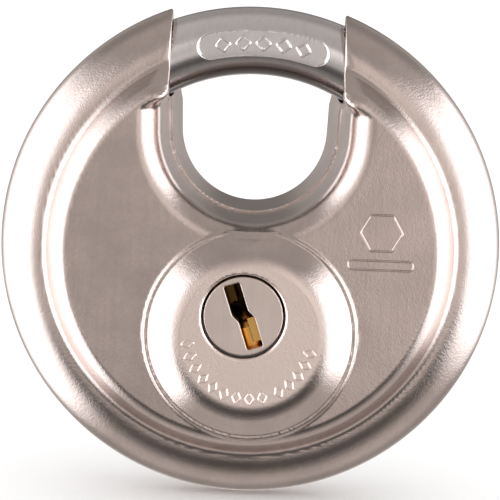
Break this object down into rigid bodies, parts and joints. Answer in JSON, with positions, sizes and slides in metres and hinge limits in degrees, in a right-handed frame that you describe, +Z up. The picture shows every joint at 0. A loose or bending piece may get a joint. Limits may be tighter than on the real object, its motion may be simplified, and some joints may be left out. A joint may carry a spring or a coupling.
{
  "type": "disc padlock",
  "caption": "Round stainless steel padlock with a recessed opening, a curved sliding shackle and a pin-tumbler cylinder in a raised boss.",
  "frame": {"origin": "middle of the bounding box, on the seam between the two shells, 0.73 mm below the centre of the disc", "axes": "+X to the right and +Z up towards the shackle as seen from the front, -Y out of the front face with the keyway"},
  "size_m": [0.07, 0.0254, 0.0686],
  "materials": {
    "stainless_shell": "satin pressed stainless sheet with a faint warm cast, glossier on the rolled rim",
    "hardened_steel": "ground and satin plated hardened steel",
    "nickel_plug": "turned face, nickel plated",
    "cast_zinc": "as cast zinc alloy, matte",
    "brass": "turned, slightly tarnished",
    "spring_steel": "drawn wire and blanked strip"
  },
  "bodies": {
    "case": {"front_shell": "stainless_shell", "rear_shell": "stainless_shell", "cylinder_housing": "cast_zinc", "chamber_cover": "brass", "drill_guard_plate": "hardened_steel", "spacer_post_left": "hardened_steel", "spacer_post_right": "hardened_steel", "right_guide_block": "cast_zinc", "left_guide_block": "cast_zinc", "pin_spring_1": "spring_steel", "pin_spring_2": "spring_steel", "pin_spring_3": "spring_steel", "pin_spring_4": "spring_steel"},
    "plug_set": {"plug": "nickel_plug", "plug_clip": "spring_steel", "crank_arm": "hardened_steel", "crank_pin": "hardened_steel", "crank_screw": "spring_steel"},
    "shackle_set": {"shackle": "hardened_steel", "shackle_carrier": "hardened_steel", "carrier_pin": "hardened_steel"},
    "key_pin_1": {"key_pin_1": "brass"},
    "key_pin_2": {"key_pin_2": "brass"},
    "key_pin_3": {"key_pin_3": "brass"},
    "key_pin_4": {"key_pin_4": "brass"},
    "driver_pin_1": {"driver_pin_1": "brass"},
    "driver_pin_2": {"driver_pin_2": "brass"},
    "driver_pin_3": {"driver_pin_3": "brass"},
    "driver_pin_4": {"driver_pin_4": "brass"}
  },
  "joints": [
    {"name": "plug_turn", "type": "hinge", "parent": "case", "child": "plug_set", "pos_m": [-0.00055, 0, -0.00767], "axis": [0, 1, 0], "range_deg": [0, 132]},
    {"name": "shackle_turn", "type": "hinge", "parent": "case", "child": "shackle_set", "pos_m": [0, 0, 0.00073], "axis": [0, 1, 0], "range_deg": [0, 66]},
    {"name": "key_pin_1_slide", "type": "slide", "parent": "plug_set", "child": "key_pin_1", "axis": [0.3239, 0, -0.9461], "range_m": [-0.0009, 0]},
    {"name": "driver_pin_1_slide", "type": "slide", "parent": "case", "child": "driver_pin_1", "axis": [0.3239, 0, -0.9461], "range_m": [-0.0009, 0], "deforming": ["pin_spring_1"]},
    {"name": "key_pin_2_slide", "type": "slide", "parent": "plug_set", "child": "key_pin_2", "axis": [0.3239, 0, -0.9461], "range_m": [-0.0009, 0]},
    {"name": "driver_pin_2_slide", "type": "slide", "parent": "case", "child": "driver_pin_2", "axis": [0.3239, 0, -0.9461], "range_m": [-0.0009, 0], "deforming": ["pin_spring_2"]},
    {"name": "key_pin_3_slide", "type": "slide", "parent": "plug_set", "child": "key_pin_3", "axis": [0.3239, 0, -0.9461], "range_m": [-0.0009, 0]},
    {"name": "driver_pin_3_slide", "type": "slide", "parent": "case", "child": "driver_pin_3", "axis": [0.3239, 0, -0.9461], "range_m": [-0.0009, 0], "deforming": ["pin_spring_3"]},
    {"name": "key_pin_4_slide", "type": "slide", "parent": "plug_set", "child": "key_pin_4", "axis": [0.3239, 0, -0.9461], "range_m": [-0.0009, 0]},
    {"name": "driver_pin_4_slide", "type": "slide", "parent": "case", "child": "driver_pin_4", "axis": [0.3239, 0, -0.9461], "range_m": [-0.0009, 0], "deforming": ["pin_spring_4"]}
  ],
  "couplings": [
    {"joint": "plug_turn", "follows": "shackle_turn", "ratio": 2},
    {"joint": "driver_pin_1_slide", "follows": "key_pin_1_slide", "ratio": 1},
    {"joint": "driver_pin_2_slide", "follows": "key_pin_2_slide", "ratio": 1},
    {"joint": "driver_pin_3_slide", "follows": "key_pin_3_slide", "ratio": 1},
    {"joint": "driver_pin_4_slide", "follows": "key_pin_4_slide", "ratio": 1}
  ]
}
